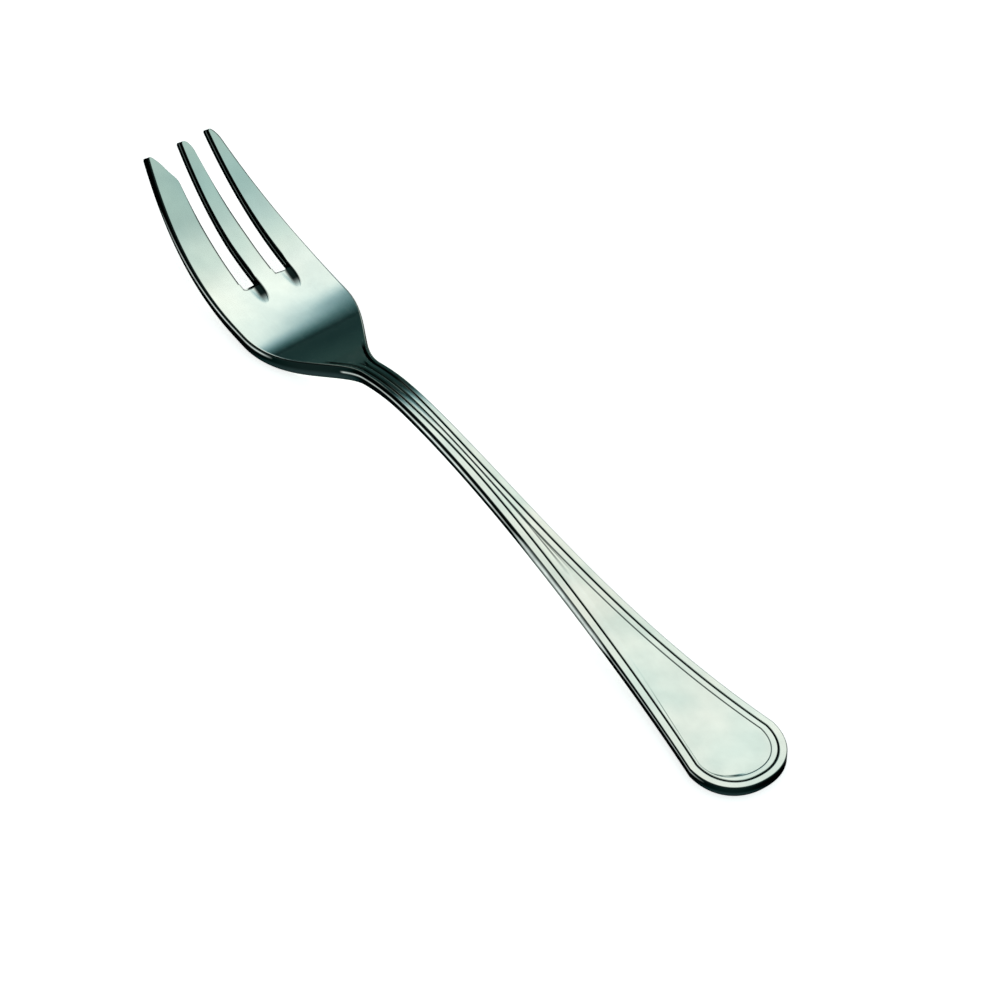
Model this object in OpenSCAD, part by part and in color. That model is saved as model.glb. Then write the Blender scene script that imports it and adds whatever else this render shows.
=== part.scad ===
/* [Whole fork] */
// Length from the tips of the tines to the end of the handle
overall_length = 150; // [140:1:165]
// Rise of the tips above the lowest part of the head
tip_rise = 13.6; // [8:0.2:16]
// Rise of the handle's crown above the lowest part of the head
crown_rise = 6.4; // [3:0.2:9]
// Reach of the tines' top edge forward of the lowest part of the head
belly_reach = 36; // [34:0.5:40]
// Distance from the tips to the crown of the handle
crown_at = 65.5; // [62:0.5:74]

/* [Head] */
// Full width of the head at its widest place
head_width = 19.3; // [16:0.1:23]
// Full width between the flanks of the head, drawn on to the tips
tip_spread = 13; // [11:0.1:15]
// Distance from the tips to the widest place of the head
widest_at = 31.8; // [30:0.1:34]
// Thickness of the steel in the head and the tines
head_thickness = 2.4; // [1.8:0.1:3]
// Rounding of the top edge along the outside of the head
head_edge_round = 0.5; // [0.2:0.05:0.7]

/* [Tines] */
// Length of the slots from the tips to the foot of their ramps
slot_length = 22.9; // [20:0.1:25]
// Width of each slot at its root
slot_width = 2.9; // [2:0.1:3.2]
// Width of the middle tine at its root
middle_tine_width = 3.2; // [2.6:0.1:4]
// Distance of the middle tine's centre line from the centre of the fork
middle_tine_offset = 0.47; // [0:0.01:1]
// Lean of the cutting tine's inner edge towards the middle, at its tip
cutting_lean = 0.75; // [0:0.05:1]
// Lean of the side tine's inner edge towards the middle, at its tip
side_lean = 0.15; // [0:0.05:0.4]
// Distance that the side tine's tip stands in from the flank
side_tuck = 0.5; // [0:0.05:0.7]
// Length of the ramp that each slot runs out in
slot_ramp = 5.3; // [4:0.1:7]
// Thickness of the lip at the foot of each ramp
ramp_lip = 0.15; // [0.1:0.05:0.4]
// Width of the middle tine's blunt tip
tip_width = 1.4; // [1:0.1:1.8]
// Width of the cutting tine's point
cutting_point = 0.6; // [0.5:0.05:1]
// Length of the slanted end of the cutting tine
cutting_slant = 3.7; // [2:0.1:6]
// Length over which the middle tine narrows to its tip
tip_taper = 15; // [8:0.5:18]

/* [Neck and handle] */
// Full width of the neck, at its slimmest
neck_width = 3.65; // [3.2:0.05:5.5]
// Distance from the tips to the end of the head's shoulders
shoulder_end = 52.8; // [51:0.1:58]
// Thickness of the neck
neck_thickness = 2.4; // [1.8:0.1:3]
// Thickness of the steel at the end of the handle
handle_thickness = 1.9; // [1.2:0.1:2.4]
// Full width of the handle at its widest place
handle_width = 15.3; // [12:0.1:18]
// Length of the round end of the handle
end_round = 8; // [6:0.1:9]
// Radius of the lower edge of the handle
lower_round = 0.25; // [0.1:0.05:0.4]

/* [Border of the handle] */
// Width of the sloping rim along the edge of the handle
rim_width = 1.25; // [0.9:0.05:1.5]
// Fall of the rim from its crest to the edge of the handle
rim_fall = 0.5; // [0.2:0.05:0.7]
// Width of the raised thread inside the rim
thread_width = 1; // [0.7:0.05:1.2]
// Depth of the groove between the rim and the thread
groove_depth = 0.3; // [0.1:0.05:0.45]
// Width of the groove between the rim and the thread
groove_width = 0.4; // [0.2:0.05:0.6]
// Fall of the panel below the thread
panel_fall = 0.15; // [0.05:0.01:0.25]
// Width of the step from the thread down to the panel
step_width = 0.2; // [0.1:0.02:0.3]
// Distance from the tips to the start of the grooves
groove_start = 45; // [42:0.5:50]

/* [Hidden] */

// Distances from the tips at which one part of the fork passes into the next
neck_from = 46;
handle_from = 60;

// How the curves of the fork bend, as powers without a unit
tine_curve_share = 2.75;
rise_curve_share = 1.3;
fall_curve_share = 1.27;
flank_curve_share = 2.3;
shoulder_curve_share = 1.1;
flare_curve_share = 2.95;
end_curve_share = 2.2;
taper_curve_share = 1.4;
tuck_curve_share = 1.5;

// Steps along each part of the fork
tine_steps = 22;
head_steps = 26;
neck_steps = 16;
handle_steps = 44;
end_steps = 16;

// Width of a ramp's floor as a share of its opening
ramp_floor_share = 0.85;
// Half the width that a ramp's points keep past its end
ramp_seam = 0.15;
// Half the width left between the two steps where they meet in the neck
centre_gap = 0.05;
// Least room for each thread beside the centre line of the neck
thread_room = 0.4;

half_head = head_width / 2;
half_spread = tip_spread / 2;
half_neck = neck_width / 2;
half_handle = handle_width / 2;
half_slot = slot_width / 2;
belly_top = head_thickness;
tip_slope = tine_curve_share * tip_rise / belly_reach;
tip_at = head_thickness * tip_slope / sqrt(1 + tip_slope * tip_slope);
belly_at = tip_at + belly_reach;
end_centre = overall_length - end_round;
apex_at = slot_length + slot_ramp;
slot_straight = slot_length + 0.25 * slot_ramp;

// Smooth step from 0 to 1
function ease(u) = u * u * (3 - 2 * u);
function clamp(u) = max(0, min(1, u));
function mix(a, b, u) = a + (b - a) * u;
// Share of the way from one place to another
function way(x, a, b) = clamp((x - a) / (b - a));

// Height of the top face over the table at a distance from the tips
function top_z(x) =
    x < belly_at ? belly_top + tip_rise * pow((belly_at - x) / belly_reach, tine_curve_share) :
    x < crown_at ? belly_top + crown_rise * ease(1 - pow(1 - way(x, belly_at, crown_at), rise_curve_share)) :
    mix(belly_top + crown_rise, handle_thickness,
        ease(1 - pow(1 - way(x, crown_at, overall_length), fall_curve_share)));

// Slope of the top face, from two places close together
slope_step = 0.01;
function slope(x) = (top_z(x + slope_step) - top_z(x - slope_step)) / (2 * slope_step);

// Thickness of the steel, square to the top face
function thickness(x) =
    x < crown_at ? mix(head_thickness, neck_thickness, ease(way(x, belly_at, crown_at))) :
    mix(neck_thickness, handle_thickness, ease(way(x, crown_at, end_centre)));

// Half the width of the outline, up to the round end of the handle
function half_width(x) =
    x < widest_at ? mix(half_spread, half_head, 1 - pow(1 - way(x, tip_at, widest_at), flank_curve_share)) :
    x < shoulder_end ? mix(half_head, half_neck, ease(pow(way(x, widest_at, shoulder_end), shoulder_curve_share))) :
    mix(half_neck, half_handle, pow(way(x, shoulder_end, end_centre), flare_curve_share));

// A point given by its distance from the tips, its distance from the centre
// and its height over the top face, square to that face
function place(x, y, h) =
    let (s = slope(x), n = sqrt(1 + s * s))
    [x - h * s / n - overall_length / 2, y, top_z(x) + h / n];

// How far the border has risen out of the head, from 0 to 1
function border(x) = ease(way(x, groove_start, shoulder_end));

// Half of the section at x, from the lower edge up and in to the panel, as
// pairs of the distance from the outline and the height over the top face
function half_section(x) =
    let (b = border(x), t = thickness(x), edge = mix(head_edge_round, rim_fall, b),
         groove = rim_width, thread_end = rim_width + thread_width)
    [[lower_round, -t],
     [0, lower_round - t],
     [0, -edge],
     [0.3 * edge, -0.3 * edge],
     [edge, -0.05 * edge],
     [groove - groove_width / 2, 0],
     [groove, -b * groove_depth],
     [groove + groove_width / 2, 0],
     [thread_end - step_width / 2, 0],
     [thread_end + step_width / 2, -b * panel_fall]];
section_points = 10;

// Place of a point of the border, from the centre line out, where the outline
// lies at w: d in from the outline, with the thread drawn together where the
// neck is too slim to hold it, so that the two halves don't cross
function border_y(w, d) =
    let (groove = rim_width + groove_width / 2,
         panel = rim_width + thread_width + step_width / 2,
         fit = min(1, (w - thread_room) / groove),
         inner = max(w - panel, centre_gap))
    d <= groove ? w - fit * d : mix(w - fit * groove, inner, (d - groove) / (panel - groove));

function side_point(x, w, k, side) =
    let (p = half_section(x)[k])
    place(x, side * border_y(w, p[0]), p[1]);

// One closed ring of the section, from the lower left edge over the top to
// the lower right edge
function ring(x, w) = concat(
    [for (k = [0 : section_points - 1]) side_point(x, w, k, -1)],
    [for (k = [section_points - 1 : -1 : 0]) side_point(x, w, k, 1)]);

// Faces that join a row of rings of the same count and close both ends
function skin_faces(rows, count) = concat(
    [for (i = [0 : rows - 2], k = [0 : count - 1])
        [i * count + k, (i + 1) * count + k, (i + 1) * count + (k + 1) % count, i * count + (k + 1) % count]],
    [[for (k = [0 : count - 1]) k]],
    [[for (k = [count - 1 : -1 : 0]) (rows - 1) * count + k]]);

module skin(rings) {
    polyhedron(points = [for (r = rings) each r], faces = skin_faces(len(rings), len(rings[0])), convexity = 6);
}

// A stretch of the plain section between two distances from the tips
module stretch(from, to, steps) {
    skin([for (i = [0 : steps]) let (x = mix(from, to, i / steps)) ring(x, half_width(x))]);
}

// Centre line of each slot at its root, left of the middle tine or right of it
function slot_centre(side) = middle_tine_offset + side * (middle_tine_width / 2 + half_slot);

// Share of the tines' length left to the tips, and of the middle tine's taper
function to_tip(x) = 1 - way(x, tip_at, slot_length);
function middle_half(x) =
    mix(middle_tine_width, tip_width, pow(1 - way(x, tip_at, tip_at + tip_taper), taper_curve_share)) / 2;

// Section of a tine between two edges, with a rounded edge along the outside
// of the fork and plain corners along a slot
function tine_ring(x, left, right, left_round, right_round) =
    let (t = thickness(x), c = lower_round)
    [place(x, left + c, -t),
     place(x, left, c - t),
     place(x, left, -left_round),
     place(x, left + 0.3 * left_round, -0.3 * left_round),
     place(x, left + left_round, -0.05 * left_round),
     place(x, right - right_round, -0.05 * right_round),
     place(x, right - 0.3 * right_round, -0.3 * right_round),
     place(x, right, -right_round),
     place(x, right, c - t),
     place(x, right - c, -t)];

// Rounding of a tine's edge along a slot
slot_edge_round = 0.1;

module cutting_tine() {
    color([0.68, 0.75, 0.72])
    skin([for (i = [0 : tine_steps])
        let (x = mix(tip_at, slot_length, i / tine_steps),
             outer = -half_width(x),
             inner = slot_centre(-1) - half_slot + cutting_lean * to_tip(x),
             slant = 1 - way(x, tip_at, tip_at + cutting_slant),
             outer_round = mix(head_edge_round, cutting_point / 4, slant))
        tine_ring(x, outer, mix(inner, outer + cutting_point, slant), outer_round, slot_edge_round)]);
}

module middle_tine() {
    color([0.72, 0.79, 0.76])
    skin([for (i = [0 : tine_steps])
        let (x = mix(tip_at, slot_length, i / tine_steps), w = middle_half(x))
        tine_ring(x, middle_tine_offset - w, middle_tine_offset + w, slot_edge_round, slot_edge_round)]);
}

module side_tine() {
    color([0.76, 0.83, 0.8])
    skin([for (i = [0 : tine_steps])
        let (x = mix(tip_at, slot_length, i / tine_steps),
             left = slot_centre(1) + half_slot - side_lean * to_tip(x),
             outer = half_width(x) - side_tuck * pow(to_tip(x), tuck_curve_share))
        tine_ring(x, left, outer, slot_edge_round, mix(head_edge_round, tip_width / 4, to_tip(x)))]);
}

// The ramp that each slot runs out in: its floor climbs from a thin lip at the
// underside to the top face while its plan closes in a half ellipse. Past the
// ramp the same four points lie flat in the top face and draw together.
function ramp_half(x) =
    let (closing = way(x, slot_straight, apex_at))
    max(half_slot * sqrt(1 - closing * closing), ramp_seam);
function ramp_depth(x) = (head_thickness - ramp_lip) * (1 - way(x, slot_length, apex_at));
function ramp_centre(x, side) =
    let (inset = rim_width + thread_width + step_width)
    slot_centre(side) * (x < widest_at ? 1 : (half_width(x) - inset) / (half_head - inset));
function ramp_points(x, side) =
    let (y = ramp_centre(x, side), w = ramp_half(x), floor_w = ramp_floor_share * w,
         top = -border(x) * panel_fall, low = top - ramp_depth(x))
    [place(x, y - w, top), place(x, y - floor_w, low), place(x, y + floor_w, low), place(x, y + w, top)];

module head() {
    color([0.86, 0.93, 0.88])
    skin([for (i = [0 : head_steps])
        let (x = mix(slot_length, neck_from, i / head_steps), w = half_width(x))
        concat(
            [for (k = [0 : section_points - 1]) side_point(x, w, k, -1)],
            ramp_points(x, -1),
            ramp_points(x, 1),
            [for (k = [section_points - 1 : -1 : 0]) side_point(x, w, k, 1)])]);
}

module neck() {
    color([0.45, 0.52, 0.5])
    stretch(neck_from, handle_from, neck_steps);
}

// A line of the handle's border: it follows the outline at a fixed distance
// on both sides and goes round the end between them
end_count = 2 * end_steps - 1;
line_count = 2 * (handle_steps + 1) + end_count;
function end_point(k, angle) =
    let (p = half_section(end_centre)[k],
         across = pow(abs(sin(angle)), 2 / end_curve_share) * (half_handle - p[0]),
         along = pow(abs(cos(angle)), 2 / end_curve_share) * (end_round - p[0]))
    place(end_centre + along, sign(angle) * across, p[1]);
function border_line(k) = concat(
    [for (i = [0 : handle_steps])
        let (x = mix(handle_from, end_centre, i / handle_steps)) side_point(x, half_width(x), k, -1)],
    [for (i = [1 : end_count]) end_point(k, mix(-90, 90, i / (end_count + 1)))],
    [for (i = [handle_steps : -1 : 0])
        let (x = mix(handle_from, end_centre, i / handle_steps)) side_point(x, half_width(x), k, 1)]);

// Faces of the handle: bands between neighbouring lines, rungs across the
// panel and the underside, and the section where it meets the neck
last_point = line_count - 1;
middle_point = last_point / 2;
last_line = (section_points - 1) * line_count;
handle_faces = concat(
    [for (k = [0 : section_points - 2], i = [0 : last_point - 1])
        [k * line_count + i, (k + 1) * line_count + i, (k + 1) * line_count + i + 1, k * line_count + i + 1]],
    [for (i = [0 : middle_point - 2])
        [last_line + i, last_line + last_point - i, last_line + last_point - i - 1, last_line + i + 1]],
    [[last_line + middle_point - 1, last_line + middle_point + 1, last_line + middle_point]],
    [for (i = [0 : middle_point - 2])
        [i + 1, last_point - i - 1, last_point - i, i]],
    [[middle_point, middle_point + 1, middle_point - 1]],
    [concat(
        [0],
        [for (k = [0 : section_points - 1]) k * line_count + last_point],
        [for (k = [section_points - 1 : -1 : 1]) k * line_count])]);

module handle() {
    color([0.82, 0.89, 0.84])
    polyhedron(points = [for (k = [0 : section_points - 1]) each border_line(k)], faces = handle_faces, convexity = 6);
}

cutting_tine();
middle_tine();
side_tine();
head();
neck();
handle();
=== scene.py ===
import bpy
import bmesh
import numpy as np
from mathutils import Matrix, Vector


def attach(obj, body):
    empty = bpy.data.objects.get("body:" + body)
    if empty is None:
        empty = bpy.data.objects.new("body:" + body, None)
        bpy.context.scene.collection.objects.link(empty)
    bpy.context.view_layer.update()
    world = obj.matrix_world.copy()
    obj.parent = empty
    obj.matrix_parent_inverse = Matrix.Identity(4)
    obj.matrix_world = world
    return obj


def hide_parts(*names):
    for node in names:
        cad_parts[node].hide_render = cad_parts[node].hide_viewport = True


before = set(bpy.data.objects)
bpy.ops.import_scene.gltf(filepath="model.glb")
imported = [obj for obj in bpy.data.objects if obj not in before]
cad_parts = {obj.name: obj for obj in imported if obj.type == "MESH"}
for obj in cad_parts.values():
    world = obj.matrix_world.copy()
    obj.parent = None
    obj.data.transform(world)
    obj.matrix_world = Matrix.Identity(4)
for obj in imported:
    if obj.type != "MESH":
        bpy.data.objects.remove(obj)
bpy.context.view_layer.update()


# HANDLE
#
# The handle of the stamped steel blank, a flat bar that flares to a round end.
# A die presses the border into it: a sloping rim, a groove, a raised thread and
# a fine step. The faces are polished satin; the sheared edge is painted dark, a
# painted reflection of a dark room, and the grooves get painted shade.

# Sizes in mm, and places as distances from the tips of the tines
LENGTH = 150.0
TIP_AT, BELLY_AT, BELLY_REACH, CROWN_AT = 1.735, 37.729, 36.0, 65.5
TIP_RISE, CROWN_RISE = 13.6, 6.4
TINE_CURVE, RISE_CURVE, FALL_CURVE = 2.75, 1.3, 1.27
MEAN_SPAN, MEAN_POINTS = 7.0, 15
MEAN_STARTS, MEAN_STOPS = (26.0, 32.0), (44.0, 50.0)
HEAD_STEEL, NECK_STEEL, END_STEEL = 2.4, 2.4, 1.9
END_ROUND, END_CURVE = 8.0, 2.2
END_CENTRE = LENGTH - END_ROUND


def mix(a, b, share):
    """The value a given share of the way from a to b."""
    return a + (b - a) * share


def way(x, a, b):
    """How far x has come from a to b, held between 0 and 1."""
    return np.clip((x - a) / (b - a), 0.0, 1.0)


def ease(u):
    """Smooth step: three times u squared less twice u cubed."""
    return u * u * (3.0 - 2.0 * u)


def wave(u):
    """Raised cosine: half of what one exceeds the cosine of u half turns by."""
    return 0.5 - 0.5 * np.cos(np.pi * u)


def bent_line(x):
    """Height of the upper face: a power curve down the tines to the belly, an
    eased rise to the crown and an eased fall to the end of the handle."""
    tines = TIP_RISE * np.clip((BELLY_AT - x) / BELLY_REACH, 0.0, None) ** TINE_CURVE
    rise = CROWN_RISE * ease(1.0 - (1.0 - way(x, BELLY_AT, CROWN_AT)) ** RISE_CURVE)
    fall = ease(1.0 - (1.0 - way(x, CROWN_AT, LENGTH)) ** FALL_CURVE)
    return np.where(x < CROWN_AT, HEAD_STEEL + tines + rise,
                    mix(HEAD_STEEL + CROWN_RISE, END_STEEL, fall))


def top_height(x):
    """The bent line, with the joint of its curves at the belly smoothed by a
    running mean that fades in before the belly and out behind it."""
    near = ease(way(x, *MEAN_STARTS)) * (1.0 - ease(way(x, *MEAN_STOPS)))
    places = np.linspace(-MEAN_SPAN / 2.0, MEAN_SPAN / 2.0, MEAN_POINTS)
    mean = sum(bent_line(x + d) for d in places) / MEAN_POINTS
    return mix(bent_line(x), mean, near)


def steel(x):
    """Thickness of the steel: even along the head, eased to the neck's and
    from the crown to the handle's end."""
    front = mix(HEAD_STEEL, NECK_STEEL, ease(way(x, BELLY_AT, CROWN_AT)))
    rear = mix(NECK_STEEL, END_STEEL, ease(way(x, CROWN_AT, END_CENTRE)))
    return np.where(x < CROWN_AT, front, rear)


# The outline in plan
HALF_TIPS, HALF_HEAD, HALF_NECK, HALF_END = 6.5, 9.65, 1.825, 7.65
WIDEST_AT, SHOULDER_END = 31.8, 52.8
FLANK_CURVE, SHOULDER_CURVE, FLARE_CURVE = 2.3, 1.1, 2.95


def half_width(x):
    """Half the outline's width: a power curve out to the widest place, an
    eased fall over the shoulders and a power curve out to the round end."""
    flank = mix(HALF_TIPS, HALF_HEAD, 1.0 - (1.0 - way(x, TIP_AT, WIDEST_AT)) ** FLANK_CURVE)
    shoulder = mix(HALF_HEAD, HALF_NECK, ease(way(x, WIDEST_AT, SHOULDER_END) ** SHOULDER_CURVE))
    flare = mix(HALF_NECK, HALF_END, way(x, SHOULDER_END, END_CENTRE) ** FLARE_CURVE)
    return np.where(x < WIDEST_AT, flank, np.where(x < SHOULDER_END, shoulder, flare))


# The pieces meet at these places, and between the first two the head is twisted
SLOT_LENGTH, NECK_FROM, HANDLE_FROM = 22.9, 46.0, 60.0
HEAD_TWIST, SLOPE_STEP = 0.0112, 0.01
METRES = 0.001


def on_steel(x, y, h):
    """Points in metres at x from the tips, y across and h above the upper
    face, with h measured square to that face. The head is twisted a little,
    as a bent blank is: a sine wave along it that grows with y."""
    slope = (top_height(x + SLOPE_STEP) - top_height(x - SLOPE_STEP)) / (2.0 * SLOPE_STEP)
    long = np.sqrt(1.0 + slope * slope)
    u = way(x, SLOT_LENGTH, NECK_FROM)
    twist = -HEAD_TWIST * y * np.sin(2.0 * np.pi * u) * np.sin(np.pi * u) ** 2
    height = top_height(x) + twist + h / long
    return np.stack([x - h * slope / long - LENGTH / 2.0, y + 0.0 * x, height], axis=-1) * METRES


def turn(count, skip=0):
    """Angles of a quarter turn in even steps, without the first few."""
    return np.linspace(0.0, np.pi / 2.0, count)[skip:]


def shares(count):
    """Even shares of the way between two columns, without either end."""
    return (np.arange(count) + 1.0) / (count + 1.0)


# The border, from the lower edge of the steel up and in: points in each stretch
BORDER = {"lower": 5, "wall": 19, "shoulder": 9, "rim": 7, "groove": 13, "thread": 9, "step": 9, "margin": 7}
STRETCH = np.repeat(list(BORDER), list(BORDER.values()))
PLACE = np.concatenate([(np.arange(n) + 1.0) / n for n in BORDER.values()])

LOWER_ROUND, EDGE_ROUND, RIM_ROUND, HEAD_SPREAD = 0.25, 0.28, 0.2, 1.15
RIM_WIDTH, NECK_RIM, FULL_RIM_AT = 1.25, 0.75, 84.0
GROOVE_DEPTH, GROOVE_WIDTH = 0.3, 0.4
THREAD_WIDTH, THREAD_HOLLOW = 1.0, 0.02
STEP_WIDTH, MARGIN_WIDTH, PANEL_FALL = 0.2, 0.5, 0.15
BORDER_FROM, INNER_LINES = 45.0, (50.0, 54.0)


def by_stretch(otherwise, **values):
    """A row of values for half the border, picked by each point's stretch."""
    return np.select([STRETCH == name for name in values], list(values.values()), otherwise)


def rim_width(x):
    """Width of the sloping rim, which is slimmer along the neck."""
    return mix(NECK_RIM, RIM_WIDTH, ease(way(x, SHOULDER_END, FULL_RIM_AT)))


def pressing(x):
    """Shares of their full depth of the outer groove, which starts on the
    head's shoulders, and of the inner lines, which start further back."""
    outer = ease(way(x, BORDER_FROM, SHOULDER_END))
    return outer, outer * ease(way(x, *INNER_LINES))


def border_shape(x):
    """Inset from the outline and height over the upper face of each point of
    half the border. Quarter circles at both edges, a raised cosine for the
    groove, half of one for the step and a low parabola for the thread. Soft
    is the height with the step drawn out over the margin."""
    u, angle = PLACE, PLACE * np.pi / 2.0
    outer, inner = pressing(x)
    t, r = steel(x), LOWER_ROUND
    e = mix(EDGE_ROUND, RIM_ROUND, outer)
    wide = e * mix(HEAD_SPREAD, 1.0, outer)
    groove, step = rim_width(x), rim_width(x) + THREAD_WIDTH
    groove_in, groove_out = groove - GROOVE_WIDTH / 2.0, groove + GROOVE_WIDTH / 2.0
    step_in, step_out = step - STEP_WIDTH / 2.0, step + STEP_WIDTH / 2.0
    inset = by_stretch(
        step_out + MARGIN_WIDTH * u,
        lower=r * (1.0 - np.sin(angle)), wall=0.0 * u, shoulder=wide * (1.0 - np.cos(angle)),
        rim=mix(wide, groove_in, u), groove=mix(groove_in, groove_out, u),
        thread=mix(groove_out, step_in, u), step=mix(step_in, step_out, u))
    height = by_stretch(
        0.0,
        lower=-t + r * (1.0 - np.cos(angle)), wall=mix(-t + r, -e, u), shoulder=e * (np.sin(angle) - 1.0),
        groove=-outer * GROOVE_DEPTH * wave(2.0 * u),
        thread=-inner * THREAD_HOLLOW * np.clip(2.0 * u - 1.0, 0.0, 1.0) ** 2,
        step=-inner * mix(THREAD_HOLLOW, PANEL_FALL, wave(u)), margin=-inner * PANEL_FALL + 0.0 * u)
    down = by_stretch(0.0, step=STEP_WIDTH * u, margin=STEP_WIDTH + MARGIN_WIDTH * u)
    slope = -inner * mix(THREAD_HOLLOW, PANEL_FALL, wave(down / (STEP_WIDTH + MARGIN_WIDTH)))
    soft = np.where(np.isin(STRETCH, ["step", "margin"]), slope, height)
    return inset + 0.0 * x, soft, height


# Where the lines of painted shade start, and where the neck is slim enough to darken them
LINE_START, LATE_LINES, SLIM_NECK = (BORDER_FROM, BORDER_FROM + 1.5), (50.0, 51.0), (58.0, 66.0)
# How the painted shade lines merge on the slim neck, how fast they darken in the groove, and the painted
# shade on the fine step
MERGE_ROOM, VALLEY_GAIN, STEP_SHADE = (0.1, 0.7), 2.4, 0.75


def border_masks(x):
    """Masks of the sheared wall painted dark as a painted reflection, eased out over
    the shoulder, and of the lines of painted shade on the left and on the right. The
    lines are darkest in the groove. On the slim neck they take in the lips beside them."""
    u = PLACE
    start, late, slim = way(x, *LINE_START), way(x, *LATE_LINES), 1.0 - way(x, *SLIM_NECK)
    merged = 1.0 - way(half_width(x) - (rim_width(x) + THREAD_WIDTH), *MERGE_ROOM)
    edge = by_stretch(0.0, lower=1.0, wall=1.0, shoulder=np.minimum(1.0, 3.0 * ease(1.0 - u))) + 0.0 * x
    valley = np.maximum(ease(np.minimum(1.0, VALLEY_GAIN * wave(2.0 * u))), slim)
    last, first = u > 0.99, u < 0.12
    lips = ((STRETCH == "rim") & last) | ((STRETCH == "thread") & first)
    dark = np.select(
        [lips, (STRETCH == "thread") & last, STRETCH == "groove", STRETCH == "step", STRETCH == "margin"],
        [start * slim, late * slim, start * valley,
         late * np.maximum(merged * ease(np.minimum(1.0, 2.0 * u)), slim), late * merged], 0.0)
    line = by_stretch(0.0, step=STEP_SHADE * pressing(x)[1] * np.sin(np.pi * u))
    return edge, dark, np.maximum(dark, line)


# Room for the thread on the neck, and the share of its width kept on the left at the end
THREAD_ROOM, CENTRE_GAP, LEAST_HALF, MOST_DRAWN = 0.4, 0.05, 0.7, 0.7
LEFT_THREAD, LEFT_JOINS, LEFT_PARTS = 0.25, (112.0, 140.0), (0.15, 1.25)


def across(x, d):
    """Distance from the centre line of a point d in from the outline, with
    the thread drawn together where the neck is too slim to hold it."""
    w = half_width(x)
    groove = rim_width(x) + GROOVE_WIDTH / 2.0
    panel = rim_width(x) + THREAD_WIDTH + STEP_WIDTH / 2.0
    fit = np.minimum(1.0, (w - THREAD_ROOM) / groove)
    inner = np.maximum(w - panel, CENTRE_GAP)
    outside = w - fit * d
    inside = mix(w - fit * groove, inner, (d - groove) / (panel - groove))
    drawn = np.minimum(MARGIN_WIDTH / np.maximum(w - panel, LEAST_HALF), MOST_DRAWN)
    beyond = inner * (1.0 - np.clip((d - panel) / MARGIN_WIDTH, 0.0, 1.0) * drawn)
    return np.where(d <= groove, outside, np.where(d <= panel, inside, beyond))


def drawn_out(inset, share):
    """The insets of half the border with its thread, step and margin narrowed
    to a share of their width, so that the step runs up to the groove."""
    groove = RIM_WIDTH + GROOVE_WIDTH / 2.0
    return np.where(inset > groove, mix(groove, inset, share), inset)


def under_mask(places, sharp):
    """Mask of the underside's two margins, painted dark like the walls: one at
    the walls, and falling to nothing in straight lines, the sooner the sharper it is."""
    return np.maximum(0.0, 1.0 - sharp * np.minimum(places, 1.0 - places))


def closed_rings(left, right, edge, left_dark, right_dark):
    """Whole rings from their two halves, each given as x, y and h: the left
    half border, a straight run over the panel, the right half border back out
    and a straight run underneath."""
    over, under = shares(14), shares(18)
    x, y, h = (np.hstack([a, mix(a[:, -1:], b[:, -1:], over), b[:, ::-1], mix(b[:, :1], a[:, :1], under)])
               for a, b in zip(left, right))
    none = np.zeros((x.shape[0], 1))
    edges = np.hstack([edge, none + 0.0 * over, edge[:, ::-1], none + under_mask(under, 8.0)])
    darks = np.hstack([left_dark, none + 0.0 * over, right_dark[:, ::-1], none + 0.0 * under])
    return x, y, h, edges, darks


def bar_rings(x):
    """Rings of the plain bar at distances x from the tips. On the left the
    step is soft, and near the end of the handle it joins the groove."""
    x = x[:, None]
    inset, soft, height = border_shape(x)
    left_inset = drawn_out(inset, mix(1.0, LEFT_THREAD, ease(way(x, *LEFT_JOINS))))
    left = (x + 0.0 * inset, -across(x, left_inset), soft)
    right = (x + 0.0 * inset, across(x, inset), height)
    return closed_rings(left, right, *border_masks(x))


def end_rings(angle):
    """Rings round the end: each line of the border follows a rounded
    quarter of a superellipse, drawn in by its own inset."""
    x = np.full((angle.size, 1), END_CENTRE)
    inset, soft, height = border_shape(x)
    a = angle[:, None]
    out, on = np.cos(a) ** (2.0 / END_CURVE), np.sin(a) ** (2.0 / END_CURVE)
    left_inset = drawn_out(inset, mix(LEFT_THREAD, 1.0, ease(way(a, *LEFT_PARTS))))
    left = (END_CENTRE + on * (END_ROUND - left_inset), -out * (HALF_END - left_inset),
            mix(height, soft, np.cos(a)))
    right = (END_CENTRE + on * (END_ROUND - inset), out * (HALF_END - inset), height)
    return closed_rings(left, right, *border_masks(x))


# The painted highlight stripe of the left outer wall, as pairs of a place and a value: its
# depth and half its width as shares of the steel's thickness, and its strength
STRIPE_DEPTH = [(8.0, 0.70), (10.0, 0.65), (15.0, 0.53), (20.0, 0.41), (25.0, 0.33), (30.0, 0.27),
                (38.0, 0.24), (46.0, 0.42), (100.0, 0.47), (113.0, 0.46), (125.0, 0.32), (140.0, 0.27)]
STRIPE_WIDTH = [(14.0, 0.08), (30.0, 0.08), (46.0, 0.06), (49.0, 0.05), (58.0, 0.06), (72.0, 0.12),
                (84.0, 0.11), (92.0, 0.08), (97.0, 0.27), (115.0, 0.27), (119.0, 0.07)]
STRIPE_POWER = [(7.0, 0.0), (10.0, 0.4), (15.0, 0.7), (24.0, 1.0), (36.0, 0.8), (38.0, 0.0),
                (48.2, 0.0), (48.8, 0.8), (60.0, 0.7), (70.0, 1.0), (86.0, 0.9), (91.0, 0.5),
                (96.0, 0.9), (116.0, 0.9), (119.0, 0.7), (142.0, 0.7), (145.0, 0.0)]
SLOT_STRIPE, SLOT_STRIPE_DEPTH, SLOT_STRIPE_WIDTH = 0.22, 0.47, 0.06
OUTER_WALL = 0.8
# Where each wall's painted dark turns greener: the shares of its height over which that band fades in and out
FOOT_STARTS, FOOT_STOPS = (0.5, 0.72), (0.94, 1.0)


def read_off(table, x):
    """Straight lines between a table's pairs of place and value."""
    return np.interp(x, *zip(*table))


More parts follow.
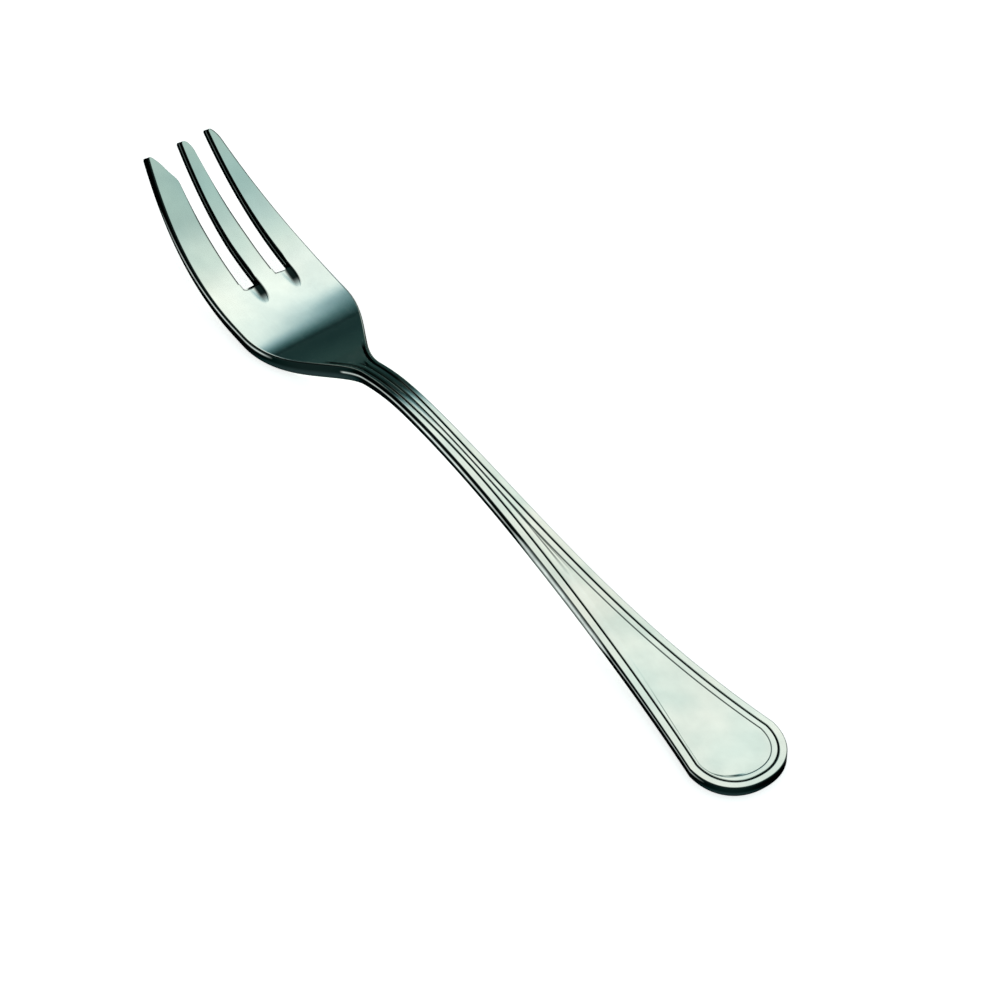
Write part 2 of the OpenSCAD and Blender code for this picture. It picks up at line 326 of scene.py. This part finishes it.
def painted_glint(x, y, h):
    """The painted highlight stripe along a wall: a soft band
    round a depth that drifts along the fork, and a faint one in the slots."""
    down = -h / steel(x)
    at, half, power = read_off(STRIPE_DEPTH, x), read_off(STRIPE_WIDTH, x), read_off(STRIPE_POWER, x)
    outer = power * np.exp(-((down - at) / half) ** 2) * (y < 0.0)
    slot = SLOT_STRIPE * np.exp(-((down - SLOT_STRIPE_DEPTH) / SLOT_STRIPE_WIDTH) ** 2) * (x < SLOT_LENGTH)
    return np.where(np.abs(y) > half_width(x) - OUTER_WALL, outer, slot)


def painted_foot(x, h):
    """The greener foot of a wall's painted dark reflection: a band with soft ends
    over the lower part of its height."""
    down = -h / steel(x)
    return way(down, *FOOT_STARTS) * (1.0 - way(down, *FOOT_STOPS))


# Points closer than WELD, in metres, are joined, and edges sharper than CREASE stay sharp
WELD, CREASE, UV_PER_METRE = 2e-7, 1.1, 10.0


def steel_mesh(name, x, y, h, edge, dark):
    """A closed mesh from a grid of rings: quads between neighbouring rings
    and a cap over the first and the last, with collapsed rings welded."""
    rows, count = x.shape
    points = on_steel(x, y, h).reshape(-1, 3)
    i, k = np.meshgrid(np.arange(rows - 1), np.arange(count), indexing="ij")
    here, there, n = i * count, (i + 1) * count, (k + 1) % count
    quads = np.stack([there + k, there + n, here + n, here + k], axis=-1).reshape(-1, 4)
    caps = [list(range(count)), list(range((rows - 1) * count, rows * count))[::-1]]
    mesh = bpy.data.meshes.new(name)
    mesh.from_pydata(points.tolist(), [], quads.tolist() + caps)
    # Masks for the painted colours: the walls' painted dark reflection, painted shade in the grooves, the
    # painted highlight stripe and the walls' greener foot
    masks = {"edge": edge, "groove": dark, "stripe": painted_glint(x, y, h) * (edge > 0.3), "foot": painted_foot(x, h)}
    for label, values in masks.items():
        mesh.attributes.new(label, "FLOAT", "POINT").data.foreach_set("value", (values + 0.0 * x).ravel())
    flat = np.zeros(len(mesh.polygons), dtype=bool)
    flat[-2:] = True
    mesh.polygons.foreach_set("use_smooth", ~flat)
    work = bmesh.new()
    work.from_mesh(mesh)
    bmesh.ops.remove_doubles(work, verts=work.verts, dist=WELD)
    bmesh.ops.recalc_face_normals(work, faces=work.faces)
    work.to_mesh(mesh)
    work.free()
    mesh.set_sharp_from_angle(angle=CREASE)
    layer = mesh.uv_layers.new(name="along")
    place = np.empty(len(mesh.vertices) * 3)
    mesh.vertices.foreach_get("co", place)
    corner = np.empty(len(mesh.loops), dtype=np.int64)
    mesh.loops.foreach_get("vertex_index", corner)
    layer.data.foreach_set("uv", place.reshape(-1, 3)[corner][:, :2].ravel() * UV_PER_METRE)
    piece = bpy.data.objects.new(name, mesh)
    bpy.context.scene.collection.objects.link(piece)
    return piece


def put_on(piece, node):
    """Lets a piece stand for its region of the blank."""
    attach(piece, "root")
    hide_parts(node)


def new_group(name, inputs, outputs):
    """A node group with named inputs and outputs, each with its kind of socket."""
    group = bpy.data.node_groups.new(name, "ShaderNodeTree")
    for way_round, sockets in (("INPUT", inputs), ("OUTPUT", outputs)):
        for label, kind in sockets.items():
            group.interface.new_socket(name=label, in_out=way_round, socket_type="NodeSocket" + kind)
    return group, group.nodes.new("NodeGroupInput").outputs, group.nodes.new("NodeGroupOutput").inputs


def wire(tree, kind, links=(), **values):
    """Adds a node, sets its properties and joins its inputs."""
    node = tree.nodes.new(kind)
    for key, value in values.items():
        setattr(node, key, value)
    for socket, source in dict(links).items():
        if hasattr(source, "is_output"):
            tree.links.new(source, node.inputs[socket])
        else:
            node.inputs[socket].default_value = source
    return node


def sums(tree, operation, a, b):
    """The result of one sum on two values."""
    return wire(tree, "ShaderNodeMath", {0: a, 1: b}, operation=operation).outputs[0]


def blend(tree, share, a, b, **values):
    """A colour the given share of the way from a to b."""
    links = {"Factor": share, "A": a, "B": b}
    return wire(tree, "ShaderNodeMix", links, data_type="RGBA", **values).outputs["Result"]


def span(tree, value, start, stop, low=0.0, high=1.0, **values):
    """How far a value has come from start to stop, as a number from low to high."""
    links = {"Value": value, "From Min": start, "From Max": stop, "To Min": low, "To Max": high}
    return wire(tree, "ShaderNodeMapRange", links, **values).outputs["Result"]


def noise(tree, vector, scale, detail, roughness=0.5):
    """Soft noise at a scale given as patches to a metre."""
    links = {"Vector": vector, "Scale": scale, "Detail": detail, "Roughness": roughness}
    return wire(tree, "ShaderNodeTexNoise", links).outputs["Fac"]


# Polish: how fine the marks are along and across the fork and how many patches
# there are to a metre, with the share of light that the dullest patch keeps
MARKS, PATCHES, TINTS = (260.0, 4200.0, 4200.0), 190.0, 95.0
DULLEST = 0.87


def polish_group():
    """Satin polish: noise drawn out along the fork for the fine marks, slow
    noise for the dull patches that the polishing wheel leaves, and slower
    noise for the tint between a cool and a warm colour."""
    group, go, out = new_group("Satin polish", {"Vector": "Vector", "Cool": "Color", "Warm": "Color"},
                               {"Face": "Color", "Mark": "Float"})
    drawn = wire(group, "ShaderNodeMapping", {"Vector": go["Vector"], "Scale": MARKS}).outputs["Vector"]
    mark = span(group, noise(group, drawn, 1.0, 3.0), 0.3, 0.7)
    patch = span(group, noise(group, go["Vector"], PATCHES, 4.0, 0.55), 0.3, 0.7)
    tint = span(group, noise(group, go["Vector"], TINTS, 2.0), 0.35, 0.65)
    face = blend(group, tint, go["Cool"], go["Warm"])
    face = blend(group, 1.0, face, span(group, patch, 0.0, 1.0, DULLEST), blend_type="MULTIPLY")
    group.links.new(face, out["Face"])
    group.links.new(mark, out["Mark"])
    return group


# The painted highlight stripe's patchiness: its patches to a metre, and the share that the faintest patch
# keeps
GLINT_PATCHES, LEAST_STRIPE = 320.0, 0.75


def edge_group():
    """Painted wall shade and glint: the mesh's own masks of the wall painted dark as a
    painted reflection, of its greener painted foot, of the grooves' painted shade
    and of the painted highlight stripe, broken up by a slow noise."""
    group, go, out = new_group("Painted wall shade and glint", {"Vector": "Vector"},
                               {"Wall": "Float", "Foot": "Float", "Groove": "Float", "Stripe": "Float"})
    mask = {label: wire(group, "ShaderNodeAttribute", attribute_name=label).outputs["Fac"]
            for label in ("edge", "foot", "groove", "stripe")}
    # The slow noise that breaks the painted highlight stripe into patches
    worn = span(group, noise(group, go["Vector"], GLINT_PATCHES, 2.0), 0.35, 0.65, LEAST_STRIPE)
    stripe = sums(group, "MULTIPLY", mask["stripe"], worn)
    for label, source in (("Wall", mask["edge"]), ("Foot", mask["foot"]), ("Groove", mask["groove"]),
                          ("Stripe", stripe)):
        group.links.new(source, out[label])
    return group


POLISH, WALL_PAINT = polish_group(), edge_group()
# Painted colours: shade in the grooves, a highlight stripe, and the walls' dark reflection, greener at their
# foot
GROOVE_SHADE, STRIPE_GLINT = (0.02, 0.04, 0.035, 1.0), (0.88, 0.95, 0.91, 1.0)
WALL_SHADE, FOOT_SHADE_GREEN = (0.008, 0.016, 0.015, 1.0), (0.022, 0.038, 0.038, 1.0)
WHITE, BLACK = (1.0, 1.0, 1.0, 1.0), (0.0, 0.0, 0.0, 1.0)
SATIN_ROUGHNESS, WALL_ROUGHNESS = (0.09, 0.12), 0.25
MARK_STRENGTH, MARK_DEPTH = 0.012, 0.0001


def steel_finish(name, cool, warm):
    """Satin stainless steel: metal with fine marks along the fork, soft
    patches of tint, painted shade in the grooves, a painted highlight stripe
    and an edge painted dark that doesn't shine where it is seen along its length."""
    material = bpy.data.materials.new(name)
    material.use_nodes = True
    tree = material.node_tree
    shader = tree.nodes["Principled BSDF"]
    shader.inputs["Metallic"].default_value = 1.0
    where = wire(tree, "ShaderNodeTexCoord").outputs["Object"]
    polish = wire(tree, "ShaderNodeGroup", node_tree=POLISH)
    edge = wire(tree, "ShaderNodeGroup", node_tree=WALL_PAINT)
    tree.links.new(where, polish.inputs["Vector"])
    tree.links.new(where, edge.inputs["Vector"])
    polish.inputs["Cool"].default_value = cool
    polish.inputs["Warm"].default_value = warm
    wall, groove, stripe = (edge.outputs[label] for label in ("Wall", "Groove", "Stripe"))
    # Painted shade darkens the grooves and a painted dark reflection the walls, greener at their foot; the
    # stripe is a painted highlight. Walls and grooves lose their shine, except under the stripe.
    face = blend(tree, groove, polish.outputs["Face"], GROOVE_SHADE)
    face = blend(tree, wall, face, blend(tree, edge.outputs["Foot"], WALL_SHADE, FOOT_SHADE_GREEN))
    tree.links.new(blend(tree, stripe, face, STRIPE_GLINT), shader.inputs["Base Color"])
    hidden = sums(tree, "MULTIPLY", sums(tree, "MAXIMUM", wall, groove), sums(tree, "SUBTRACT", 1.0, stripe))
    tree.links.new(blend(tree, hidden, WHITE, BLACK), shader.inputs["Specular Tint"])
    grain = span(tree, polish.outputs["Mark"], 0.0, 1.0, *SATIN_ROUGHNESS)
    rough = wire(tree, "ShaderNodeMix", {"Factor": wall, "A": grain, "B": WALL_ROUGHNESS}, data_type="FLOAT")
    tree.links.new(rough.outputs["Result"], shader.inputs["Roughness"])
    relief = {"Height": polish.outputs["Mark"], "Strength": MARK_STRENGTH, "Distance": MARK_DEPTH}
    bump = wire(tree, "ShaderNodeBump", relief)
    tree.links.new(bump.outputs["Normal"], shader.inputs["Normal"])
    return material


# The handle and the neck take the steel in a darker tone than the head
DARKER_SATIN = steel_finish("darker satin steel", (0.71, 0.83, 0.76, 1.0), (0.81, 0.85, 0.77, 1.0))

bar = bar_rings(mix(HANDLE_FROM, END_CENTRE, np.linspace(0.0, 1.0, 330)))
end = end_rings(turn(46, 1))
handle = steel_mesh("handle_steel", *[np.vstack([a, b]) for a, b in zip(bar, end)])
handle.data.materials.append(DARKER_SATIN)
put_on(handle, "handle")


# NECK
#
# The slim arched neck: the same bar where the border's grooves start out of
# the head's shoulders and run side by side, four ridges with three lines.

neck = steel_mesh("neck_steel", *bar_rings(np.linspace(NECK_FROM, HANDLE_FROM, 120)))
neck.data.materials.append(DARKER_SATIN)
put_on(neck, "neck")


# HEAD
#
# The head is the same steel, spread wide and dished. Two slots are sawn into
# it between the tines, and each runs out into the upper face in a ground ramp.

HALF_SLOT, SLOT_EDGE = 1.45, 0.1
MIDDLE_WIDTH, MIDDLE_OFFSET = 3.2, 0.47
SLOT_RAMP, RAMP_DEPTH, RAMP_LIP, RAMP_SEAM = 5.3, 0.32, 0.15, 0.15
RAMP_CLOSES, RAMP_CURVE = 0.25, 0.75
ROOT_STEP, ROOT_SKEW, ROOT_CORNER, CORNER_SKEW, CORNER_SHARE = 1.15, 0.2, 0.12, 0.1, 0.15
STEEP_WALL, LEFT_SLOPE, RIGHT_SLOPE = 0.03, 0.6, 0.1
# The strip of painted shade beside each ramp's right wall, and the strength of the painted shade at the
# step's crest and the ramp's first edge
STRIP_FOOT, STRIP_END, STRIP_FROM, STRIP_DRIFT, STRIP_FADE = 0.4, -0.1, 0.8, 0.6, 2.2
CREST_SHADE, RIM_SHADE = 0.9, 0.8


def slot_centre(side):
    """Centre line of a slot at its root, on one side of the middle tine."""
    return MIDDLE_OFFSET + side * (MIDDLE_WIDTH / 2.0 + HALF_SLOT)


def ramp_columns(x, side):
    """Across and down over one ramp. Just behind the slot's square root the
    floor steps up and then rises evenly to the face, between edges that close
    in half an ellipse. Past the ramp the columns lie flat, side by side. The
    mask is painted shade: it darkens the step, the steep right wall and a
    tapering strip at its foot."""
    apex = SLOT_LENGTH + SLOT_RAMP
    closing = way(x, SLOT_LENGTH + RAMP_CLOSES * SLOT_RAMP, apex)
    w = np.maximum(HALF_SLOT * np.sqrt(1.0 - closing ** 2), RAMP_SEAM)
    inset = RIM_WIDTH + THREAD_WIDTH + STEP_WIDTH
    drift = np.where(x < WIDEST_AT, 1.0, (half_width(x) - inset) / (HALF_HEAD - inset))
    centre = slot_centre(side) * drift
    u = 0.5 - 0.5 * np.cos(np.linspace(0.0, np.pi, 33))
    y = centre - w + 2.0 * w * u
    corner = (ROOT_CORNER - CORNER_SKEW * side) * np.clip(1.0 - u / CORNER_SHARE, 0.0, 1.0) ** 2
    root = SLOT_LENGTH + ROOT_STEP - ROOT_SKEW * side - corner
    stepped = way(x, root - 0.15, root + 0.05)
    depth = mix(HEAD_STEEL - RAMP_LIP, RAMP_DEPTH, ease(stepped))
    depth = depth * ease(1.0 - way(x, SLOT_LENGTH, apex)) ** RAMP_CURVE
    left, right = mix(STEEP_WALL, LEFT_SLOPE, stepped), mix(STEEP_WALL, RIGHT_SLOPE, stepped)
    h = -depth * ease(np.minimum(1.0, u / left)) * ease(np.minimum(1.0, (1.0 - u) / right))
    # A tapering strip of painted shade on the floor beside the right wall, and painted shade at the step's
    # crest and along the ramp's first edge
    low = mix(STRIP_FOOT, STRIP_END, way(x, SLOT_LENGTH + STRIP_FROM, apex) ** STRIP_DRIFT)
    strip = ease(way(y - centre, low - 0.4, low + 0.25)) * (1.0 - ease(way(x, apex - STRIP_FADE, apex)))
    crest = CREST_SHADE * way(x, root - 0.25, root - 0.1) * (1.0 - way(x, root + 0.15, root + 0.3))
    rim = RIM_SHADE * (u < 0.001) * (1.0 - stepped)
    return y, h, np.where(w > RAMP_SEAM, np.maximum(strip, np.maximum(crest, rim)), 0.0)


def head_rings(x):
    """Rings of the head: half a border, a run of plain face, one ramp, the
    face between, the other ramp, plain face, half a border and the underside."""
    x = x[:, None]
    inset, soft, height = border_shape(x)
    edge, dark, _ = border_masks(x)
    side = across(x, inset)
    left_y, left_h, left_ramp_shade = ramp_columns(x, -1.0)
    right_y, right_h, right_ramp_shade = ramp_columns(x, 1.0)
    over, under = shares(12), shares(24)
    level = height[:, -1:]
    flat = level + 0.0 * over
    y = np.hstack([-side, mix(-side[:, -1:], left_y[:, :1], over),
                   left_y, mix(left_y[:, -1:], right_y[:, :1], over),
                   right_y, mix(right_y[:, -1:], side[:, -1:], over),
                   side[:, ::-1], mix(side[:, :1], -side[:, :1], under)])
    h = np.hstack([soft, flat, left_h + level, flat, right_h + level, flat,
                   height[:, ::-1], height[:, :1] + 0.0 * under])
    none, no_ramp = 0.0 * flat, 0.0 * left_y
    under_edge = 0.0 * x + under_mask(under, 12.0)
    edges = np.hstack([edge, none, left_ramp_shade, none, right_ramp_shade, none, edge[:, ::-1], under_edge])
    darks = np.hstack([dark, none, no_ramp, none, no_ramp, none, dark[:, ::-1], 0.0 * under_edge])
    return x + 0.0 * y, y, h, edges, darks


SATIN = steel_finish("satin steel", (0.82, 0.94, 0.88, 1.0), (0.88, 0.95, 0.86, 1.0))
head = steel_mesh("head_steel", *head_rings(np.linspace(SLOT_LENGTH, NECK_FROM, 230)))
head.data.materials.append(SATIN)
put_on(head, "head")


# TINES
#
# Three tines, cut from the same steel and bent up. The wide one has a slanted
# end for cutting, and the other two narrow to blunt rounded points.

TIP_WIDTH, TIP_TAPER, TAPER_CURVE, TIP_CURVE, TIP_LEFT = 1.4, 15.0, 1.4, 1.6, 0.25
CUTTING_POINT, CUTTING_SLANT, CUTTING_LEAN, CUTTING_CORNER = 1.1, 3.7, 0.75, 0.45
SIDE_LEAN, SIDE_TUCK, TUCK_CURVE = 0.15, 0.5, 1.5
SLOT_SPREAD = 2.0


def tine_rings(x, left, right, left_round, right_round):
    """Rings of a tine between its two edges: quarter circles at the four
    corners, plain walls, and straight runs over and under. Wide roundings
    spread as the head's do, and the slots' small ones spread further."""
    x, left, right = x[:, None], left[:, None], right[:, None]
    lr, rr = left_round[:, None], right_round[:, None]
    ls, rs = mix(1.0, HEAD_SPREAD, way(lr, 0.2, EDGE_ROUND)), mix(1.0, SLOT_SPREAD, way(rr, 0.1, 0.2))
    rs = mix(rs, HEAD_SPREAD, way(rr, 0.23, 0.27))
    t, most = steel(x), (right - left) / 2.0
    c, lr, rr = np.minimum(LOWER_ROUND, most), np.minimum(lr, most), np.minimum(rr, most)
    low, high = turn(5), turn(9)
    w, f = shares(18), shares(14)
    y = np.hstack([left + c - c * np.sin(low), left + 0.0 * w, left + ls * lr * (1.0 - np.cos(high)),
                   mix(left + ls * lr, right - rs * rr, f),
                   right - rs * rr * (1.0 - np.cos(high[::-1])), right + 0.0 * w,
                   right - c + c * np.sin(low[::-1]), mix(right - c, left + c, f)])
    h = np.hstack([-t + c - c * np.cos(low), mix(c - t, -lr, w), lr * (np.sin(high) - 1.0), 0.0 * x + 0.0 * f,
                   rr * (np.sin(high[::-1]) - 1.0), mix(-rr, c - t, w), -t + c - c * np.cos(low[::-1]),
                   -t + 0.0 * f])
    none = 0.0 * x
    # The edge mask paints the tine's walls dark as a painted reflection, fading over the upper roundings
    fade = np.minimum(1.0, 3.0 * ease(1.0 - high / (np.pi / 2.0)))
    corner, wall = none + 1.0 + 0.0 * low, none + 1.0 + 0.0 * w
    edge = np.hstack([corner, wall, none + fade, none + 0.0 * f, none + fade[::-1], wall, corner,
                      none + under_mask(f, 8.0)])
    return x + 0.0 * y, y, h, edge, 0.0 * y


def tip_stations(count):
    """Distances along a tine, closer together towards its tip."""
    return TIP_AT + (SLOT_LENGTH - TIP_AT) * np.linspace(0.0, 1.0, count) ** 1.6


def rounded_tip(x, left, right):
    """Draws the right edge in over the last stretch in a quarter ellipse, and
    the left one in a much smaller one, so that the tip is round in plan."""
    u = 1.0 - way(x, TIP_AT, TIP_AT + TIP_CURVE)
    v = 1.0 - way(x, TIP_AT, TIP_AT + TIP_LEFT)
    centre = mix(left, right, 0.25)
    return mix(centre, left, np.sqrt(1.0 - v ** 2)), mix(centre, right, np.sqrt(1.0 - u ** 2))


def add_tine(name, node, left, right, left_round, right_round):
    """Builds one tine from the plan of its two edges."""
    a, b = rounded_tip(STATIONS, left, right)
    piece = steel_mesh(name, *tine_rings(STATIONS, a, b, left_round, right_round))
    piece.data.materials.append(SATIN)
    put_on(piece, node)


STATIONS = tip_stations(190)
to_tip = 1.0 - way(STATIONS, TIP_AT, SLOT_LENGTH)
outer = half_width(STATIONS)

# At the slots the tines' right edges are worn, and their left ones rubbed nearer to the root
worn = SLOT_EDGE + 0.12 * way(STATIONS, 5.0, 12.0)
rubbed = SLOT_EDGE + 0.16 * way(STATIONS, 9.0, 20.5) * (1.0 - way(STATIONS, 21.4, SLOT_LENGTH))

# The slant meets the inner edge in a small round corner: a smooth lower of the two
slant = way(STATIONS, TIP_AT, TIP_AT + CUTTING_SLANT)
inner_edge = slot_centre(-1.0) - HALF_SLOT + CUTTING_LEAN * to_tip
slant_edge = mix(CUTTING_POINT - outer, inner_edge, (STATIONS - TIP_AT) / CUTTING_SLANT)
share = np.clip(0.5 + 0.5 * (inner_edge - slant_edge) / CUTTING_CORNER, 0.0, 1.0)
cut_edge = mix(inner_edge, slant_edge, share) - CUTTING_CORNER * share * (1.0 - share)
add_tine("cutting_tine_steel", "cutting_tine", -outer, cut_edge,
         mix(CUTTING_POINT / 4.0, EDGE_ROUND, slant), worn)

taper = (1.0 - way(STATIONS, TIP_AT, TIP_AT + TIP_TAPER)) ** TAPER_CURVE
middle_half = mix(MIDDLE_WIDTH, TIP_WIDTH, taper) / 2.0
add_tine("middle_tine_steel", "middle_tine", MIDDLE_OFFSET - middle_half, MIDDLE_OFFSET + middle_half,
         rubbed, worn)
add_tine("side_tine_steel", "side_tine", slot_centre(1.0) + HALF_SLOT - SIDE_LEAN * to_tip,
         outer - SIDE_TUCK * to_tip ** TUCK_CURVE, rubbed, mix(EDGE_ROUND, TIP_WIDTH / 4.0, to_tip))


# STUDIO
#
# A plain white table, a level softbox over the fork, a dark room that is
# lighter in front and behind, and a long lens that looks down on the fork.

TABLE_HALF = 2.5


def flat_panel(name, left, right, front, behind, height, order):
    """A level rectangle in metres, which isn't part of the object."""
    mesh = bpy.data.meshes.new(name)
    mesh.from_pydata([(left, front, height), (right, front, height), (right, behind, height),
                      (left, behind, height)], [], [order])
    panel = bpy.data.objects.new(name, mesh)
    bpy.context.scene.collection.objects.link(panel)
    return panel


table = flat_panel("table", -TABLE_HALF, TABLE_HALF, -TABLE_HALF, TABLE_HALF, 0.0, (0, 1, 2, 3))
paint = bpy.data.materials.new("white table")
paint.use_nodes = True
tree = paint.node_tree
shader = tree.nodes["Principled BSDF"]
shader.inputs["Base Color"].default_value = (0.9, 0.9, 0.9, 1.0)
shader.inputs["Roughness"].default_value = 0.9
shader.inputs["Specular IOR Level"].default_value = 0.0
rays = wire(tree, "ShaderNodeLightPath").outputs
seen = sums(tree, "MAXIMUM", rays["Is Camera Ray"], rays["Is Glossy Ray"])
seen = sums(tree, "MAXIMUM", seen, rays["Is Transmission Ray"])
shader.inputs["Emission Color"].default_value = WHITE
tree.links.new(sums(tree, "MULTIPLY", seen, 0.7), shader.inputs["Emission Strength"])
table.data.materials.append(paint)

# Room: dark and green, lighter in front, and lightest behind over the table
ROOM_LOW, ROOM_HIGH = (0.028, 0.062, 0.060, 1.0), (0.012, 0.033, 0.034, 1.0)
ROOM_FRONT, ROOM_BEHIND = (0.48, 0.54, 0.52, 1.0), (0.85, 0.92, 0.88, 1.0)
world = bpy.data.worlds.new("studio")
bpy.context.scene.world = world
world.use_nodes = True
tree = world.node_tree
where = wire(tree, "ShaderNodeTexCoord")
to = wire(tree, "ShaderNodeSeparateXYZ", {0: where.outputs["Generated"]}).outputs
room = blend(tree, span(tree, to["Z"], 0.0, 0.45), ROOM_LOW, ROOM_HIGH)
front = span(tree, to["Y"], 0.22, 0.05, interpolation_type="SMOOTHSTEP")
below = span(tree, to["Z"], 0.75, 0.5, interpolation_type="SMOOTHSTEP")
room = blend(tree, sums(tree, "MULTIPLY", front, below), room, ROOM_FRONT)
behind = span(tree, to["Y"], 0.47, 0.68, interpolation_type="SMOOTHSTEP")
high = span(tree, to["Z"], 0.08, 0.3, 0.15, interpolation_type="SMOOTHSTEP")
room = blend(tree, sums(tree, "MULTIPLY", behind, high), room, ROOM_BEHIND)
tree.links.new(room, tree.nodes["Background"].inputs["Color"])

# Softbox: a level panel over the fork, black at its left end, brightest just
# beside that and dimmer to the right, with a soft front edge
LEFT, RIGHT, FRONT, BEHIND, ABOVE = -0.75, 1.0, -0.25, 1.2, 0.6
TONES_TO, FRONT_EDGE = 0.6, (-0.22, -0.08)
TONES = [(0.022, (0.0, 0.01, 0.01)), (0.096, (0.04, 0.10, 0.11)), (0.126, (0.10, 0.20, 0.22)),
         (0.168, (0.30, 0.45, 0.50)), (0.192, (0.64, 0.78, 0.81)), (0.219, (1.00, 1.04, 1.03)),
         (0.378, (1.05, 1.06, 1.04)), (0.449, (0.87, 0.91, 0.88)), (0.517, (0.75, 0.84, 0.81)),
         (0.599, (0.62, 0.73, 0.72)), (0.684, (0.48, 0.61, 0.60)), (0.75, (0.44, 0.58, 0.57)),
         (1.0, (0.47, 0.60, 0.58))]
softbox = flat_panel("softbox", LEFT, RIGHT, FRONT, BEHIND, ABOVE, (3, 2, 1, 0))
softbox.visible_camera = False
light = bpy.data.materials.new("softbox light")
light.use_nodes = True
tree = light.node_tree
tree.nodes.remove(tree.nodes["Principled BSDF"])
emit = wire(tree, "ShaderNodeEmission")
tree.links.new(emit.outputs["Emission"], tree.nodes["Material Output"].inputs["Surface"])
where = wire(tree, "ShaderNodeTexCoord")
at = wire(tree, "ShaderNodeSeparateXYZ", {0: where.outputs["Object"]}).outputs
ramp = wire(tree, "ShaderNodeValToRGB", {"Fac": span(tree, at["X"], LEFT, TONES_TO)})
stops = ramp.color_ramp.elements
for k, (place, tone) in enumerate(TONES):
    stop = stops[k] if k < 2 else stops.new(place)
    stop.position = place
    stop.color = (*tone, 1.0)
tree.links.new(ramp.outputs["Color"], emit.inputs["Color"])
tree.links.new(span(tree, at["Y"], *FRONT_EDGE, interpolation_type="SMOOTHSTEP"), emit.inputs["Strength"])
softbox.data.materials.append(light)

# Camera: turned round the fork and raised in degrees, and its distance and aim in metres
TURNED, RAISED, AWAY = np.radians(53.921), np.radians(45.997), 0.756778
AIM_RIGHT, AIM_DOWN = 0.006516, 0.002552
back = Vector((np.sin(TURNED) * np.cos(RAISED), -np.cos(TURNED) * np.cos(RAISED), np.sin(RAISED)))
right = Vector((np.cos(TURNED), np.sin(TURNED), 0.0))
above = back.cross(right)
camera = bpy.data.objects.new("camera", bpy.data.cameras.new("camera"))
bpy.context.scene.collection.objects.link(camera)
camera.location = back * AWAY
aim = right * AIM_RIGHT - above * AIM_DOWN
level = Matrix((right, above, back)).transposed().to_quaternion()
pan = (-back).rotation_difference(aim - camera.location)
camera.rotation_euler = (pan @ level).to_euler()
camera.data.lens = 180.0
camera.data.sensor_width = 36.0
camera.data.clip_end = 20.0
bpy.context.scene.camera = camera
bpy.context.scene.view_settings.view_transform = "Standard"
